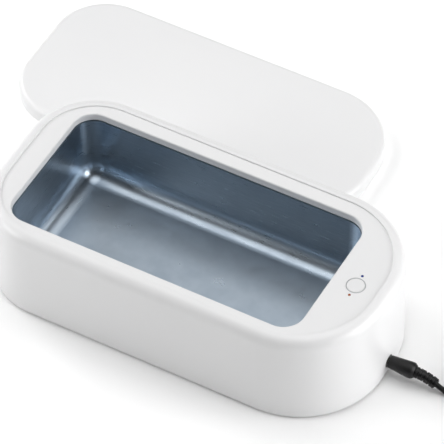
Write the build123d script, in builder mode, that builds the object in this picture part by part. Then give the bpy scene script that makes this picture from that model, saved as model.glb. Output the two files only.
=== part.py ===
# Small ultrasonic cleaner: an oblong white housing around a deep-drawn steel tank, with a
# piezo transducer and its driver inside, a loose lid lying beside it and a plug-in power lead.
# Millimetres, +Z up. Z = 0 is the surface it all stands on, and the origin is the middle of
# the floor covered by the cleaner and its lid. The cleaner's long side runs along X.
from build123d import *
from math import cos, pi, radians, sin, tan
import os

os.makedirs("parts", exist_ok=True)

# ---- housing ----
body_length = 215.0
body_width = 106.4
left_radius = body_width / 2 - 15.7     # plan corners at the end away from the controls
right_radius = body_width / 2 - 6.6     # plan corners at the control end, nearly a half round
housing_bottom = 1.6
ring_top = 57.6             # the outer ring's top, the highest part of the housing
ring_width = 6.8            # outer wall to the step that the lid drops into
edge_round = 6.0            # round along the outer top edge
recess_depth = 0.8
wall = 2.4
panel_thickness = 2.4
rim_round = 0.8             # around the tank opening
step_round = 0.4            # along the lid step

# ---- tank ----
tank_x = -6.4               # tank centre, from the middle of the housing
tank_y = -1.5
throat_length = body_length - 50.0      # the housing's opening over the tank
throat_width = body_width - 25.4
throat_radius = 11.5
throat_depth = 4.2
collar_wall = 3.2
seal_thickness = 1.0
seal_inset = 1.4            # the seal stands back from the throat
steel = 0.6
tank_depth = ring_top - 19.6
tank_taper = 2.0            # degrees, draft of the drawn walls
tank_mouth_gap = 0.4        # tank wall outside the throat
flange_width = 5.0
tank_bottom_round = 10.0

# ---- base ----
cover_thickness = 2.0
cover_inset = 0.4           # cover up inside the housing's lower edge
cover_gap = 0.25
foot_radius = 4.5
foot_pocket = 0.6
foot_inset_x = 30.0         # foot centres in from the housing's ends
foot_inset_y = 20.0
boss_radius = 3.2
boss_bite = 0.4             # how far a boss runs into the housing wall
boss_top = 30.0
screw_radius = 1.5
screw_head_radius = 2.75
screw_head_height = 1.2
screw_length = 12.0
screw_gap = 0.05
mid_boss_x = 35.0           # middle bosses, each side of the housing's centre
corner_boss_angle = 41.0    # degrees round the control end's corners
left_boss_y = 12.0
vent_count = 7
vent_pitch = 6.0
vent_length = 26.0
vent_width = 2.0

# ---- controls ----
button_x = body_length / 2 - 18.6
button_y = -0.7
button_radius = 4.55
ring_radius = button_radius + 0.43
ring_gap = 0.07
button_proud = 0.2
button_travel = 0.5
flange_radius = ring_radius + 0.52
cap_flange_thickness = 0.7
light_offset = ring_radius + 1.87   # each light from the button's centre
light_radius = 0.7
fit_gap = 0.05
board_thickness = 1.6
switch_board_drop = 5.8     # board top below the panel's underside
switch_board_length = 16.8
switch_board_width = 2 * light_offset + 12.3
switch_size = 6.0
switch_height = 3.5
switch_post_y = light_offset + 3.65
small_screw_radius = 1.0
small_head_radius = 1.9
small_head_height = 1.2
small_screw_hole = 4.0      # depth of the holes that the small screws bite into
post_wall = 1.2

# ---- power jack and plug ----
jack_y = 0.5
jack_z = 8.0
jack_size = 7.8
jack_length = 14.0
jack_nose_radius = 3.6
jack_bore_radius = 1.85
jack_bore_depth = 10.0
pin_radius = 0.65
barrel_radius = 1.75
barrel_length = 9.5
plug_gap = 0.6              # overmould clear of the housing
plug_length = 14.5
relief_length = 12.0
relief_drop = 30.0          # degrees that the strain relief bends down
cable_diameter = 2.8
cable_radius = cable_diameter / 2

# ---- lid, lying beside the housing ----
lid_gap = 0.8               # lid inside the step, all round
lid_height = 8.0
lid_wall = 2.0
lid_round = 3.0
lid_x = -59.5               # lid centre, along from the middle of the housing
lid_space = 10.7            # between the lid and the housing

# The row's origin is the middle of the floor that the housing and the lid cover.
lid_length = body_length - 2 * (ring_width + lid_gap)
lid_width = body_width - 2 * (ring_width + lid_gap)
lid_y = (body_width + lid_width) / 2 + lid_space
low_x = min(-body_length / 2, lid_x - lid_length / 2)
high_x = max(body_length / 2, lid_x + lid_length / 2)
body_x = -(low_x + high_x) / 2
body_y = -(lid_y + lid_width / 2 - body_width / 2) / 2

seat_top = ring_top - recess_depth
panel_under = seat_top - panel_thickness
collar_bottom = seat_top - throat_depth
flange_top = collar_bottom - seal_thickness
flange_bottom = flange_top - steel
tank_floor = flange_top - tank_depth
tank_under = tank_floor - steel
cover_bottom = housing_bottom + cover_inset
cover_top = cover_bottom + cover_thickness
inner_wall_x = body_length / 2 - wall


def level(height):
    """A horizontal plane at this height, with its origin on the housing's centre line."""
    return Plane(origin=(body_x, body_y, height))


def facing_right(x, y, z):
    """A plane that looks along +X, placed from the housing's centre: its x is +Y, its y is +Z."""
    return Plane(origin=(body_x + x, body_y + y, z), x_dir=(0, 1, 0), z_dir=(1, 0, 0))


def facing_front(y):
    """A plane across the heat sink's fixing hole, facing the transistor."""
    return Plane(origin=(body_x + board_x, body_y + y, sink_hole_z), x_dir=(1, 0, 0), z_dir=(0, -1, 0))


def body_outline(inset):
    """The housing's plan outline, moved inwards."""
    with BuildSketch(mode=Mode.PRIVATE) as shape:
        Rectangle(body_length - 2 * inset, body_width - 2 * inset)
        fillet(shape.vertices().group_by(Axis.X)[0], left_radius - inset)
        fillet(shape.vertices().group_by(Axis.X)[-1], right_radius - inset)
    return shape.sketch


def throat_outline(outset):
    """The tank opening's plan outline, moved outwards."""
    with BuildSketch(mode=Mode.PRIVATE) as shape:
        with Locations((tank_x, tank_y)):
            RectangleRounded(throat_length + 2 * outset, throat_width + 2 * outset, throat_radius + outset)
    return shape.sketch


def lid_outline(inset):
    """The lid's plan outline, moved inwards, where the lid lies."""
    with BuildSketch(mode=Mode.PRIVATE) as shape:
        add(Pos(lid_x, lid_y) * body_outline(ring_width + lid_gap + inset))
    return shape.sketch


# Screw bosses that carry the base cover, in from the housing's wall.
boss_inset = wall + boss_radius - boss_bite
corner_reach = right_radius - boss_inset
corner_x = body_length / 2 - right_radius + corner_reach * cos(radians(corner_boss_angle))
corner_y = body_width / 2 - right_radius + corner_reach * sin(radians(corner_boss_angle))
boss_places = [
    (-body_length / 2 + boss_inset, -left_boss_y),
    (-body_length / 2 + boss_inset, left_boss_y),
    (-mid_boss_x, -body_width / 2 + boss_inset),
    (-mid_boss_x, body_width / 2 - boss_inset),
    (mid_boss_x, -body_width / 2 + boss_inset),
    (mid_boss_x, body_width / 2 - boss_inset),
    (corner_x, -corner_y),
    (corner_x, corner_y),
]

# Clamps hold the tank's flange up against its seal, two at each end.
clamp_radius = 2.6
clamp_gap = 0.4
clamp_length = 9.0
clamp_width = 7.0
clamp_thickness = 1.2
clamp_screw_length = 4.0
mouth_half = throat_length / 2 + tank_mouth_gap
flange_end = mouth_half + flange_width
clamp_reach = flange_end + clamp_gap + clamp_radius
clamp_places = [
    (tank_x - clamp_reach, -18.0),
    (tank_x - clamp_reach, 18.0),
    (tank_x + clamp_reach, -24.0),
    (tank_x + clamp_reach, 24.0),
]

button_place = (button_x, button_y)
light_places = {"blue": (button_x, button_y + light_offset), "red": (button_x, button_y - light_offset)}
switch_posts = [(button_x, button_y - switch_post_y), (button_x, button_y + switch_post_y)]
switch_board_top = panel_under - switch_board_drop

# ---- housing: one moulding with the top ring, control panel, collar and bosses ----
with BuildPart() as housing:
    with BuildSketch(level(housing_bottom)):
        add(body_outline(0))
    extrude(amount=ring_top - housing_bottom)
    fillet(housing.faces().sort_by(Axis.Z)[-1].edges(), edge_round)
    with BuildSketch(level(seat_top)):
        add(body_outline(ring_width))
    extrude(amount=recess_depth, mode=Mode.SUBTRACT)
    fillet(housing.faces().sort_by(Axis.Z)[-1].inner_wires()[0].edges(), step_round)
    with BuildSketch(level(housing_bottom)):
        add(body_outline(wall))
    extrude(amount=panel_under - housing_bottom, mode=Mode.SUBTRACT)
    ceiling = housing.faces().filter_by_position(Axis.Z, panel_under - 0.01, panel_under + 0.01)
    fillet(ceiling[0].outer_wire().edges(), edge_round - wall)
    with BuildSketch(level(collar_bottom)):
        add(throat_outline(collar_wall))
    extrude(amount=panel_under - collar_bottom)
    with BuildSketch(level(collar_bottom)):
        add(throat_outline(0))
    extrude(amount=seat_top - collar_bottom, mode=Mode.SUBTRACT)
    seat = housing.faces().filter_by_position(Axis.Z, seat_top - 0.01, seat_top + 0.01)
    fillet(seat[0].inner_wires()[0].edges(), rim_round)
    with BuildSketch(level(cover_top)):
        with Locations(boss_places):
            Circle(boss_radius)
    extrude(amount=boss_top - cover_top)
    with BuildSketch(level(cover_top)):
        with Locations(boss_places):
            Circle(screw_radius + screw_gap)
    extrude(amount=screw_length, mode=Mode.SUBTRACT)
    with BuildSketch(level(flange_bottom)):
        with Locations(clamp_places):
            Circle(clamp_radius)
    extrude(amount=panel_under - flange_bottom)
    with BuildSketch(level(flange_bottom)):
        with Locations(clamp_places):
            Circle(small_screw_radius + screw_gap)
    extrude(amount=clamp_screw_length - clamp_thickness, mode=Mode.SUBTRACT)
    with BuildSketch(level(switch_board_top)):
        with Locations(switch_posts):
            Circle(small_screw_radius + post_wall)
    extrude(amount=switch_board_drop)
    with BuildSketch(level(switch_board_top)):
        with Locations(switch_posts):
            Circle(small_screw_radius + screw_gap)
    extrude(amount=small_screw_hole, mode=Mode.SUBTRACT)
    with BuildSketch(level(panel_under)):
        with Locations(button_place):
            Circle(ring_radius + fit_gap)
        with Locations(list(light_places.values())):
            Circle(light_radius + fit_gap)
    extrude(amount=panel_thickness, mode=Mode.SUBTRACT)
    with BuildSketch(facing_right(inner_wall_x, jack_y, jack_z)):
        Circle(jack_nose_radius + fit_gap)
    extrude(amount=wall, mode=Mode.SUBTRACT)
housing.part.label = "housing"
export_step(housing.part, "parts/housing.step")

# ---- base cover, up inside the housing's lower edge, with posts for the driver board ----
board_x = body_length / 2 - 18.5
board_length = 20.0
board_width = 0.47 * body_width
board_bottom = 13.0
post_radius = 2.4
post_x = board_length / 2 - 2.6
post_y = 0.44 * board_width
post_places = [(board_x + sx * post_x, sy * post_y) for sx in (-1, 1) for sy in (-1, 1)]
foot_places = [
    (sx * (body_length / 2 - foot_inset_x), sy * (body_width / 2 - foot_inset_y))
    for sx in (-1, 1)
    for sy in (-1, 1)
]
with BuildPart() as base_cover:
    with BuildSketch(level(cover_bottom)):
        add(body_outline(wall + cover_gap))
    extrude(amount=cover_thickness)
    with BuildSketch(level(cover_top)):
        with Locations(post_places):
            Circle(post_radius)
    extrude(amount=board_bottom - cover_top)
    with BuildSketch(level(cover_top + 1.0)):
        with Locations(post_places):
            Circle(small_screw_radius + screw_gap)
    extrude(amount=board_bottom - cover_top - 1.0, mode=Mode.SUBTRACT)
    with BuildSketch(level(cover_bottom)):
        with Locations(foot_places):
            Circle(foot_radius + fit_gap)
    extrude(amount=foot_pocket, mode=Mode.SUBTRACT)
    with BuildSketch(level(cover_bottom)):
        with Locations(boss_places):
            Circle(screw_radius + screw_gap)
    extrude(amount=cover_thickness, mode=Mode.SUBTRACT)
    with BuildSketch(level(cover_bottom)):
        with Locations(boss_places):
            Circle(screw_head_radius + screw_gap)
    extrude(amount=screw_head_height, mode=Mode.SUBTRACT)
    with BuildSketch(level(cover_bottom)):
        with Locations((tank_x, tank_y)):
            with GridLocations(vent_pitch, 1, vent_count, 1):
                SlotOverall(vent_length, vent_width, rotation=90)
    extrude(amount=cover_thickness, mode=Mode.SUBTRACT)
    chamfer(base_cover.faces().sort_by(Axis.Z)[0].outer_wire().edges(), 0.4)
base_cover.part.label = "base_cover"
export_step(base_cover.part, "parts/base_cover.step")

with BuildPart() as feet:
    with BuildSketch(level(0)):
        with Locations(foot_places):
            Circle(foot_radius)
    extrude(amount=cover_bottom + foot_pocket)
    chamfer(feet.faces().filter_by(Axis.Z).group_by(Axis.Z)[0].edges(), 0.5)
feet.part.label = "feet"
export_step(feet.part, "parts/feet.step")


def screws(places, start, length, shank, head, head_height, drive):
    """Pan-head screws that point up: their heads end at start, and each has a cross recess."""
    with BuildPart(mode=Mode.PRIVATE) as group:
        with BuildSketch(level(start - head_height)):
            with Locations(places):
                Circle(head)
        extrude(amount=head_height)
        with BuildSketch(level(start)):
            with Locations(places):
                Circle(shank)
        extrude(amount=length)
        with BuildSketch(level(start - head_height)):
            with Locations(places):
                Rectangle(2 * drive, drive / 2)
                Rectangle(drive / 2, 2 * drive)
        extrude(amount=head_height * 0.6, mode=Mode.SUBTRACT)
    return group.part


with BuildPart() as base_screws:
    add(screws(boss_places, cover_bottom + screw_head_height, screw_length - 1.0, screw_radius,
               screw_head_radius, screw_head_height, 1.5))
base_screws.part.label = "base_screws"
export_step(base_screws.part, "parts/base_screws.step")

# ---- tank: drawn steel with a flange, bonded to its seal under the collar ----
with BuildPart() as tank:
    with BuildSketch(level(flange_top)):
        add(throat_outline(tank_mouth_gap))
    extrude(amount=-(flange_top - tank_under), taper=tank_taper)
    fillet(tank.faces().sort_by(Axis.Z)[0].edges(), tank_bottom_round + steel)
    with BuildSketch(level(flange_bottom)):
        add(throat_outline(tank_mouth_gap + flange_width))
    extrude(amount=steel)
    with BuildPart(mode=Mode.PRIVATE) as hollow:
        with BuildSketch(level(flange_top)):
            add(throat_outline(tank_mouth_gap - steel))
        extrude(amount=-tank_depth, taper=tank_taper)
        fillet(hollow.faces().sort_by(Axis.Z)[0].edges(), tank_bottom_round)
    add(hollow.part, mode=Mode.SUBTRACT)
tank.part.label = "tank"
export_step(tank.part, "parts/tank.step")

with BuildPart() as tank_seal:
    with BuildSketch(level(flange_top)):
        add(throat_outline(collar_wall))
        add(throat_outline(seal_inset), mode=Mode.SUBTRACT)
    extrude(amount=seal_thickness)
tank_seal.part.label = "tank_seal"
export_step(tank_seal.part, "parts/tank_seal.step")

with BuildPart() as tank_clamps:
    with BuildSketch(level(flange_bottom - clamp_thickness)):
        for x, y in clamp_places:
            towards = 1 if x < tank_x else -1
            with Locations((x + towards * (clamp_length / 2 - clamp_radius), y)):
                RectangleRounded(clamp_length, clamp_width, 1.5)
        with Locations(clamp_places):
            Circle(small_screw_radius + screw_gap, mode=Mode.SUBTRACT)
    extrude(amount=clamp_thickness)
tank_clamps.part.label = "tank_clamps"
export_step(tank_clamps.part, "parts/tank_clamps.step")

with BuildPart() as clamp_screws:
    add(screws(clamp_places, flange_bottom - clamp_thickness, clamp_screw_length - 0.3,
               small_screw_radius, small_head_radius, small_head_height, small_screw_radius))
clamp_screws.part.label = "clamp_screws"
export_step(clamp_screws.part, "parts/clamp_screws.step")

# ---- transducer: a piezo disc bonded under the middle of the tank ----
piezo_radius = 20.0
piezo_thickness = 2.6
bond_thickness = 0.25
piezo_under = tank_under - bond_thickness - piezo_thickness
with BuildPart() as piezo_bond:
    with BuildSketch(level(tank_under - bond_thickness)):
        with Locations((tank_x, tank_y)):
            Circle(piezo_radius - 0.5)
    extrude(amount=bond_thickness)
piezo_bond.part.label = "piezo_bond"
export_step(piezo_bond.part, "parts/piezo_bond.step")

with BuildPart() as piezo_disc:
    with BuildSketch(level(piezo_under)):
        with Locations((tank_x, tank_y)):
            Circle(piezo_radius)
    extrude(amount=piezo_thickness)
    chamfer(piezo_disc.faces().sort_by(Axis.Z)[0].edges(), 0.3)
piezo_disc.part.label = "piezo_disc"
export_step(piezo_disc.part, "parts/piezo_disc.step")

# ---- driver board and what stands on it ----
board_top = board_bottom + board_thickness
narrowing = board_width / 50.0     # the parts on the board narrow along with it
with BuildPart() as main_board:
    with BuildSketch(level(board_bottom)):
        with Locations((board_x, 0)):
            RectangleRounded(board_length, board_width, 1.5)
        with Locations(post_places):
            Circle(small_screw_radius + screw_gap, mode=Mode.SUBTRACT)
    extrude(amount=board_thickness)
main_board.part.label = "main_board"
export_step(main_board.part, "parts/main_board.step")

with BuildPart() as board_screws:
    with BuildSketch(level(board_top)):
        with Locations(post_places):
            Circle(small_head_radius)
    extrude(amount=small_head_height)
    with BuildSketch(level(board_top)):
        with Locations(post_places):
            Circle(small_screw_radius)
    extrude(amount=-6.0)
    with BuildSketch(level(board_top + small_head_height)):
        with Locations(post_places):
            Rectangle(2.0, 0.5)
            Rectangle(0.5, 2.0)
    extrude(amount=-0.8, mode=Mode.SUBTRACT)
board_screws.part.label = "board_screws"
export_step(board_screws.part, "parts/board_screws.step")

# The output transformer: an E-shaped ferrite pair with the winding on its middle leg.
core_length = 16.0
core_width = 6.0 * narrowing
core_height = 14.0
core_leg = 3.0
core_y = -10.0 * narrowing
coil_gap = 0.2
with BuildPart() as transformer_core:
    with Locations(level(board_top)):
        with Locations((board_x, core_y, 0)):
            Box(core_length, core_width, core_height, align=(Align.CENTER, Align.CENTER, Align.MIN))
    with Locations(level(board_top + core_leg)):
        for side in (-1, 1):
            with Locations((board_x + side * (core_length - core_leg) / 4, core_y, 0)):
                Box((core_length - 3 * core_leg) / 2, core_width, core_height - 2 * core_leg,
                    align=(Align.CENTER, Align.CENTER, Align.MIN), mode=Mode.SUBTRACT)
transformer_core.part.label = "transformer_core"
export_step(transformer_core.part, "parts/transformer_core.step")

window = (core_length - 3 * core_leg) / 2
with BuildPart() as transformer_coil:
    with BuildSketch(level(board_top + core_leg + coil_gap)):
        with Locations((board_x, core_y)):
            RectangleRounded(core_leg + 2 * (window - coil_gap), core_width + 2 * (window - coil_gap), 2.0)
            Rectangle(core_leg + 2 * coil_gap, core_width + 2 * coil_gap, mode=Mode.SUBTRACT)
    extrude(amount=core_height - 2 * core_leg - 2 * coil_gap)
transformer_coil.part.label = "transformer_coil"
export_step(transformer_coil.part, "parts/transformer_coil.step")

capacitor_radius = 4.0 * narrowing
capacitor_x = 4.6
capacitor_y = 3.2 * narrowing
capacitor_height = 12.0
with BuildPart() as capacitors:
    with BuildSketch(level(board_top)):
        with Locations((board_x - capacitor_x, capacitor_y), (board_x + capacitor_x, capacitor_y)):
            Circle(capacitor_radius)
    extrude(amount=capacitor_height)
    fillet(capacitors.faces().filter_by(Axis.Z).group_by(Axis.Z)[-1].edges(), 0.6)
capacitors.part.label = "capacitors"
export_step(capacitors.part, "parts/capacitors.step")

film_length = 10.0
film_width = 4.0 * narrowing
film_height = 9.0
film_y = -19.2 * narrowing
with BuildPart() as film_capacitor:
    with BuildSketch(level(board_top)):
        with Locations((board_x, film_y)):
            Rectangle(film_length, film_width)
    extrude(amount=film_height)
    fillet(film_capacitor.edges().filter_by(Axis.Z), 0.6)
film_capacitor.part.label = "film_capacitor"
export_step(film_capacitor.part, "parts/film_capacitor.step")

sink_y = 14.6 * narrowing
sink_length = 16.0
sink_plate = 2.0 * narrowing
sink_height = 18.0
sink_hole_z = board_top + 14.8
sink_face = sink_y - sink_plate / 2     # the transistor's tab lies on this face
fin_depth = 4.0 * narrowing
fin_count = 6
fin_pitch = 3.0
fin_width = 1.0
transistor_screw_radius = 1.5
with BuildPart() as heat_sink:
    with BuildSketch(level(board_top)):
        with Locations((board_x, sink_y)):
            Rectangle(sink_length, sink_plate)
        with Locations((board_x, sink_y + (sink_plate + fin_depth) / 2)):
            with GridLocations(fin_pitch, 1, fin_count, 1):
                Rectangle(fin_width, fin_depth)
    extrude(amount=sink_height)
    with BuildSketch(facing_front(sink_face)):
        Circle(transistor_screw_radius + screw_gap)
    extrude(amount=-sink_plate, mode=Mode.SUBTRACT)
heat_sink.part.label = "heat_sink"
export_step(heat_sink.part, "parts/heat_sink.step")

transistor_width = 10.0
transistor_depth = 4.4 * narrowing
tab_depth = 1.3 * narrowing
leg_height = 4.0
leg_pitch = 2.54
leg_y = sink_face - 2.6 * narrowing
with BuildPart() as power_transistor:
    with BuildSketch(level(board_top + leg_height)):
        with Locations((board_x, sink_face - tab_depth / 2)):
            Rectangle(transistor_width, tab_depth)
    extrude(amount=13.0)
    with BuildSketch(level(board_top + leg_height)):
        with Locations((board_x, sink_face - transistor_depth / 2)):
            Rectangle(transistor_width, transistor_depth)
    extrude(amount=8.0)
    with BuildSketch(level(board_top)):
        with Locations((board_x, leg_y)):
            with GridLocations(leg_pitch, 1, 3, 1):
                Rectangle(0.8, 0.6)
    extrude(amount=leg_height)
    with BuildSketch(facing_front(sink_face)):
        Circle(transistor_screw_radius + screw_gap)
    extrude(amount=tab_depth, mode=Mode.SUBTRACT)
power_transistor.part.label = "power_transistor"
export_step(power_transistor.part, "parts/power_transistor.step")

with BuildPart() as transistor_screw:
    with BuildSketch(facing_front(sink_face + sink_plate)):
        Circle(transistor_screw_radius)
    extrude(amount=sink_plate + tab_depth)
    with BuildSketch(facing_front(sink_face - tab_depth)):
        Circle(2.6)
    extrude(amount=1.4)
transistor_screw.part.label = "transistor_screw"
export_step(transistor_screw.part, "parts/transistor_screw.step")

chip_x = 5.6
chip_y = 8.9 * narrowing
with BuildPart() as driver_chip:
    with BuildSketch(level(board_top)):
        with Locations((board_x + chip_x, chip_y)):
            Rectangle(5.0, 1.6 * narrowing)
    extrude(amount=4.0)
driver_chip.part.label = "driver_chip"
export_step(driver_chip.part, "parts/driver_chip.step")

# ---- controls: a cap that presses a tact switch, inside a trim ring, with two lights ----
with BuildPart() as switch_board:
    with BuildSketch(level(switch_board_top - board_thickness)):
        with Locations(button_place):
            RectangleRounded(switch_board_length, switch_board_width, 1.0)
        with Locations(switch_posts):
            Circle(small_screw_radius + screw_gap, mode=Mode.SUBTRACT)
    extrude(amount=board_thickness)
switch_board.part.label = "switch_board"
export_step(switch_board.part, "parts/switch_board.step")

with BuildPart() as switch_board_screws:
    add(screws(switch_posts, switch_board_top - board_thickness,
               board_thickness + small_screw_hole - 0.4,
               small_screw_radius, small_head_radius, small_head_height, small_screw_radius))
switch_board_screws.part.label = "switch_board_screws"
export_step(switch_board_screws.part, "parts/switch_board_screws.step")

plunger_radius = 1.7
plunger_proud = 1.1
switch_top = switch_board_top + switch_height
with BuildPart() as tact_switch:
    with BuildSketch(level(switch_board_top)):
        with Locations(button_place):
            Rectangle(switch_size, switch_size)
    extrude(amount=switch_height)
    fillet(tact_switch.edges().filter_by(Axis.Z), 0.5)
    with BuildSketch(level(switch_top)):
        with Locations(button_place):
            Circle(plunger_radius + fit_gap)
    extrude(amount=-1.6, mode=Mode.SUBTRACT)
tact_switch.part.label = "tact_switch"
export_step(tact_switch.part, "parts/tact_switch.step")

with BuildPart() as switch_plunger:
    with BuildSketch(level(switch_top - 0.8)):
        with Locations(button_place):
            Circle(plunger_radius)
    extrude(amount=0.8 + plunger_proud)
switch_plunger.part.label = "switch_plunger"
export_step(switch_plunger.part, "parts/switch_plunger.step")

with BuildPart() as power_button:
    cap_flange_top = panel_under - 0.1
    with BuildSketch(level(cap_flange_top - cap_flange_thickness)):
        with Locations(button_place):
            Circle(flange_radius)
    extrude(amount=cap_flange_thickness)
    with BuildSketch(level(cap_flange_top)):
        with Locations(button_place):
            Circle(button_radius)
    extrude(amount=seat_top + button_proud - cap_flange_top)
    fillet(power_button.faces().sort_by(Axis.Z)[-1].edges(), 0.35)
    with BuildSketch(level(switch_top + plunger_proud)):
        with Locations(button_place):
            Circle(2.2)
    extrude(amount=cap_flange_top - cap_flange_thickness - switch_top - plunger_proud)
power_button.part.label = "power_button"
export_step(power_button.part, "parts/power_button.step")

with BuildPart() as button_ring:
    with BuildSketch(level(panel_under)):
        with Locations(button_place):
            Circle(ring_radius)
            Circle(button_radius + ring_gap, mode=Mode.SUBTRACT)
    extrude(amount=panel_thickness + 0.1)
button_ring.part.label = "button_ring"
export_step(button_ring.part, "parts/button_ring.step")

led_height = 1.6
light_pipe_proud = 0.1
for colour, place in light_places.items():
    with BuildPart() as led:
        with BuildSketch(level(switch_board_top)):
            with Locations(place):
                Rectangle(1.6, 1.2)
        extrude(amount=led_height)
    led.part.label = f"{colour}_led"
    export_step(led.part, f"parts/{colour}_led.step")

    with BuildPart() as light_pipe:
        with BuildSketch(level(switch_board_top + led_height + 0.2)):
            with Locations(place):
                Circle(light_radius)
        extrude(amount=seat_top + light_pipe_proud - switch_board_top - led_height - 0.2)
        fillet(light_pipe.faces().sort_by(Axis.Z)[-1].edges(), 0.2)
    light_pipe.part.label = f"{colour}_light_pipe"
    export_step(light_pipe.part, f"parts/{colour}_light_pipe.step")

# ---- power jack in the end wall ----
nose_face = body_length / 2 - 0.3
with BuildPart() as power_jack:
    with BuildSketch(facing_right(inner_wall_x - jack_length, jack_y, jack_z)):
        RectangleRounded(jack_size, jack_size, 0.8)
    extrude(amount=jack_length)
    with BuildSketch(facing_right(inner_wall_x, jack_y, jack_z)):
        Circle(jack_nose_radius)
    extrude(amount=nose_face - inner_wall_x)
    with BuildSketch(facing_right(nose_face, jack_y, jack_z)):
        Circle(jack_bore_radius)
    extrude(amount=-jack_bore_depth, mode=Mode.SUBTRACT)
power_jack.part.label = "power_jack"
export_step(power_jack.part, "parts/power_jack.step")

with BuildPart() as jack_pin:
    with BuildSketch(facing_right(nose_face - jack_bore_depth, jack_y, jack_z)):
        Circle(pin_radius)
    extrude(amount=jack_bore_depth - 1.0)
    fillet(jack_pin.faces().sort_by(Axis.X)[-1].edges(), 0.3)
jack_pin.part.label = "jack_pin"
export_step(jack_pin.part, "parts/jack_pin.step")

jack_back = inner_wall_x - jack_length
with BuildPart() as jack_terminals:
    with BuildSketch(facing_right(jack_back - 3.0, jack_y, jack_z)):
        with Locations((-2.0, 0), (2.0, 0)):
            Rectangle(1.8, 0.5)
    extrude(amount=3.0)
jack_terminals.part.label = "jack_terminals"
export_step(jack_terminals.part, "parts/jack_terminals.step")


# ---- wires inside the housing ----
def wire(radius, points, bend):
    """One insulated wire along straight runs with round bends, from the housing's centre."""
    with BuildPart(mode=Mode.PRIVATE) as piece:
        with BuildLine():
            run = FilletPolyline(*[(body_x + x, body_y + y, z) for x, y, z in points], radius=bend)
        with BuildSketch(Plane(origin=run @ 0, z_dir=run % 0)):
            Circle(radius)
        sweep()
    return piece.part


wire_radius = 0.7
wire_under = piezo_under - 2.6
with BuildPart() as piezo_leads:
    for y in (-2.0, 2.0):
        add(wire(wire_radius, [(tank_x + 12, tank_y + y, piezo_under), (tank_x + 12, tank_y + y, wire_under),
                               (board_x - 8, tank_y + y, wire_under), (board_x - 8, tank_y + y, board_bottom)],
                 1.8))
piezo_leads.part.label = "piezo_leads"
export_step(piezo_leads.part, "parts/piezo_leads.step")

with BuildPart() as jack_leads:
    for y in (-2.0, 2.0):
        add(wire(wire_radius, [(jack_back - 3.0, jack_y + y, jack_z), (board_x - 4.5, jack_y + y, jack_z),
                               (board_x - 4.5, jack_y + y, board_bottom)], 1.4))
jack_leads.part.label = "jack_leads"
export_step(jack_leads.part, "parts/jack_leads.step")

# A flat ribbon joins the two boards, with a bend to pass the transformer.
core_top = board_top + core_height
ribbon_room = switch_board_top - board_thickness - core_top
ribbon_high = core_top + 0.62 * ribbon_room
ribbon_low = core_top + 0.185 * ribbon_room
ribbon_width = 5.0 * narrowing
ribbon_top_y = body_y - 9.5 * narrowing
ribbon_foot_y = body_y - 17.0 * narrowing
with BuildPart() as switch_ribbon:
    with BuildLine():
        ribbon_path = FilletPolyline(
            (body_x + board_x - 6.0, ribbon_top_y, switch_board_top - board_thickness),
            (body_x + board_x - 6.0, ribbon_top_y, ribbon_high),
            (body_x + board_x - 8.6, ribbon_foot_y, ribbon_low),
            (body_x + board_x - 8.6, ribbon_foot_y, board_top),
            radius=3.0,
        )
    with BuildSketch(Plane(origin=ribbon_path @ 0, x_dir=(0, 1, 0), z_dir=(0, 0, -1))):
        Rectangle(ribbon_width, 0.9)
    sweep()
switch_ribbon.part.label = "switch_ribbon"
export_step(switch_ribbon.part, "parts/switch_ribbon.step")

# ---- lid: one moulding, open underneath, with two stiffening ribs ----
with BuildPart() as lid:
    with BuildSketch(level(0)):
        add(lid_outline(0))
    extrude(amount=lid_height)
    fillet(lid.faces().sort_by(Axis.Z)[-1].edges(), lid_round)
    with BuildSketch(level(0)):
        add(lid_outline(lid_wall))
    extrude(amount=lid_height - lid_wall, mode=Mode.SUBTRACT)
    with BuildSketch(level(lid_height - lid_wall - 1.2)):
        with Locations((lid_x, lid_y)):
            with GridLocations(1, 28.0, 1, 2):
                Rectangle(lid_length - 60.0, 1.6)
    extrude(amount=1.2)
lid.part.label = "lid"
export_step(lid.part, "parts/lid.step")

# ---- power lead: plug ----
plug_start = body_length / 2 + plug_gap
plug_end = plug_start + plug_length
seat_in_plug = 2.0
nose_radius = 3.4
shoulder_radius = 4.3
tail_radius = 3.1
with BuildPart() as plug_body:
    with BuildSketch(Plane(origin=(body_x, body_y + jack_y, jack_z), x_dir=(1, 0, 0), z_dir=(0, -1, 0))):
        with BuildLine():
            Polyline((plug_start, 0), (plug_start, nose_radius), (plug_start + 11.0, shoulder_radius),
                     (plug_start + 12.8, shoulder_radius), (plug_end, tail_radius), (plug_end, 0),
                     close=True)
        make_face()
    revolve(axis=Axis((body_x, body_y + jack_y, jack_z), (1, 0, 0)))
    fillet(plug_body.edges().filter_by(GeomType.CIRCLE).sort_by(Axis.X)[0], 0.9)
    with BuildSketch(facing_right(plug_start, jack_y, jack_z)):
        Circle(barrel_radius)
    extrude(amount=seat_in_plug, mode=Mode.SUBTRACT)
plug_body.part.label = "plug_body"
export_step(plug_body.part, "parts/plug_body.step")

barrel_front = nose_face - barrel_length
insulator_radius = 1.4
with BuildPart() as plug_barrel:
    with BuildSketch(facing_right(barrel_front, jack_y, jack_z)):
        Circle(barrel_radius)
        Circle(insulator_radius, mode=Mode.SUBTRACT)
    extrude(amount=plug_start + seat_in_plug - barrel_front)
plug_barrel.part.label = "plug_barrel"
export_step(plug_barrel.part, "parts/plug_barrel.step")

with BuildPart() as plug_insulator:
    with BuildSketch(facing_right(barrel_front, jack_y, jack_z)):
        Circle(insulator_radius)
    extrude(amount=plug_start + seat_in_plug - barrel_front)
    with BuildSketch(facing_right(barrel_front, jack_y, jack_z)):
        Circle(pin_radius + 0.1)
    extrude(amount=barrel_length, mode=Mode.SUBTRACT)
plug_insulator.part.label = "plug_insulator"
export_step(plug_insulator.part, "parts/plug_insulator.step")

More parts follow.
